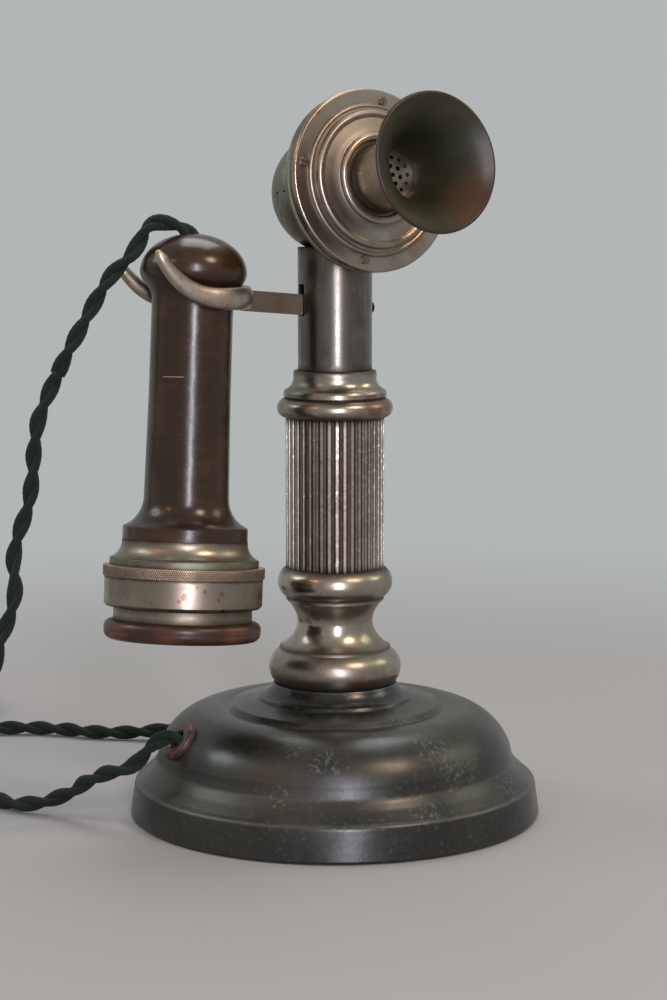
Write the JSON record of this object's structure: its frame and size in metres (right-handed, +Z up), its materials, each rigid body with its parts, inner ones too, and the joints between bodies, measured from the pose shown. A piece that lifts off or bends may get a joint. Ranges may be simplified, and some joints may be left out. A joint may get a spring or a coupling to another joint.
{
  "type": "candlestick telephone",
  "caption": "Desk telephone on a fluted column, with a tilting mouthpiece on top and an ear receiver hanging in the switch hook at its side",
  "frame": {"origin": "centre of the flat felt pad under the base, where the column axis meets the table", "axes": "+Z up the column axis; the switch hook and the hanging receiver are on the -X side; the mouthpiece points to -Y, turned a little to +X, its front raised"},
  "size_m": [0.2831, 0.4093, 0.2757],
  "materials": {
    "japanned_steel": "satin",
    "felt": "matte",
    "zinc_steel": "satin",
    "rubber": "matte",
    "fibre": "matte",
    "brass": "satin",
    "worn_nickel": "satin",
    "dark_nickel": "polished",
    "blackened_steel": "satin",
    "cotton_braid": "matte",
    "cloth_tape": "matte",
    "cup_nickel": "satin",
    "ebonite": "satin",
    "aluminium_sheet": "satin",
    "enamelled_iron": "satin",
    "magnet_steel": "matte",
    "copper_wire": "satin"
  },
  "bodies": {
    "stand": {"base_shell": "japanned_steel", "base_pad": "felt", "base_plate": "zinc_steel", "base_plate_screws": "zinc_steel", "receiver_cord_grommet": "rubber", "line_cord_grommet": "rubber", "terminal_block": "fibre", "terminal_screws": "brass", "column_nut": "brass", "column_foot": "worn_nickel", "lower_bead": "worn_nickel", "fluted_shaft": "worn_nickel", "upper_collar": "worn_nickel", "stem_tube": "dark_nickel", "switch_bracket": "brass", "bracket_screw": "blackened_steel", "hook_pivot_pin": "zinc_steel", "hook_spring": "brass", "contact_springs": "brass", "contact_insulators": "fibre", "stem_head": "worn_nickel", "tilt_washers": "brass", "receiver_cord_lower": "cotton_braid", "receiver_cord_coil": "cotton_braid", "receiver_cord_lead": "cotton_braid", "line_cord_lead": "cotton_braid", "line_cord_coil": "cotton_braid", "line_cord_tips": "brass", "cord_ties": "cloth_tape"},
    "switch_hook": {"hook_lever": "worn_nickel", "hook_fork": "worn_nickel"},
    "transmitter": {"tilt_screw": "worn_nickel", "tilt_nut": "worn_nickel", "transmitter_cup": "cup_nickel", "transmitter_face": "worn_nickel", "face_screws": "worn_nickel", "mouthpiece_socket": "worn_nickel", "socket_set_screw": "zinc_steel", "mouthpiece": "ebonite", "mouthpiece_grille": "worn_nickel", "transmitter_diaphragm": "aluminium_sheet", "diaphragm_gasket": "rubber", "carbon_button": "brass", "button_bridge": "brass", "bridge_screws": "brass"},
    "receiver": {"receiver_handle": "ebonite", "receiver_ferrule": "worn_nickel", "knurled_ring": "worn_nickel", "receiver_cup": "worn_nickel", "ear_cap": "ebonite", "receiver_diaphragm": "enamelled_iron", "receiver_magnets": "magnet_steel", "magnet_yoke": "magnet_steel", "magnet_plate": "magnet_steel", "pole_pieces": "magnet_steel", "coil_bobbins": "fibre", "coil_windings": "copper_wire", "receiver_terminals": "brass", "receiver_cord_upper": "cotton_braid"}
  },
  "joints": [
    {"name": "transmitter_tilt", "type": "hinge", "parent": "stand", "child": "transmitter", "pos_m": [-0.00026, 0.00208, 0.23802], "axis": [-0.9925, -0.1219, 0], "range_deg": [-6, 20]},
    {"name": "hook_rise", "type": "hinge", "parent": "stand", "child": "switch_hook", "pos_m": [0.004, 0, 0.1945], "axis": [0, 1, 0], "range_deg": [0, 10], "stiffness_Nm_per_rad": 0.12, "springref_deg": 28.65},
    {"name": "receiver_lift", "type": "slide", "parent": "switch_hook", "child": "receiver", "axis": [-0.3893, 0.0729, 0.9182], "range_m": [0, 0.12], "deforming": ["receiver_cord_lower", "receiver_cord_upper"]}
  ]
}
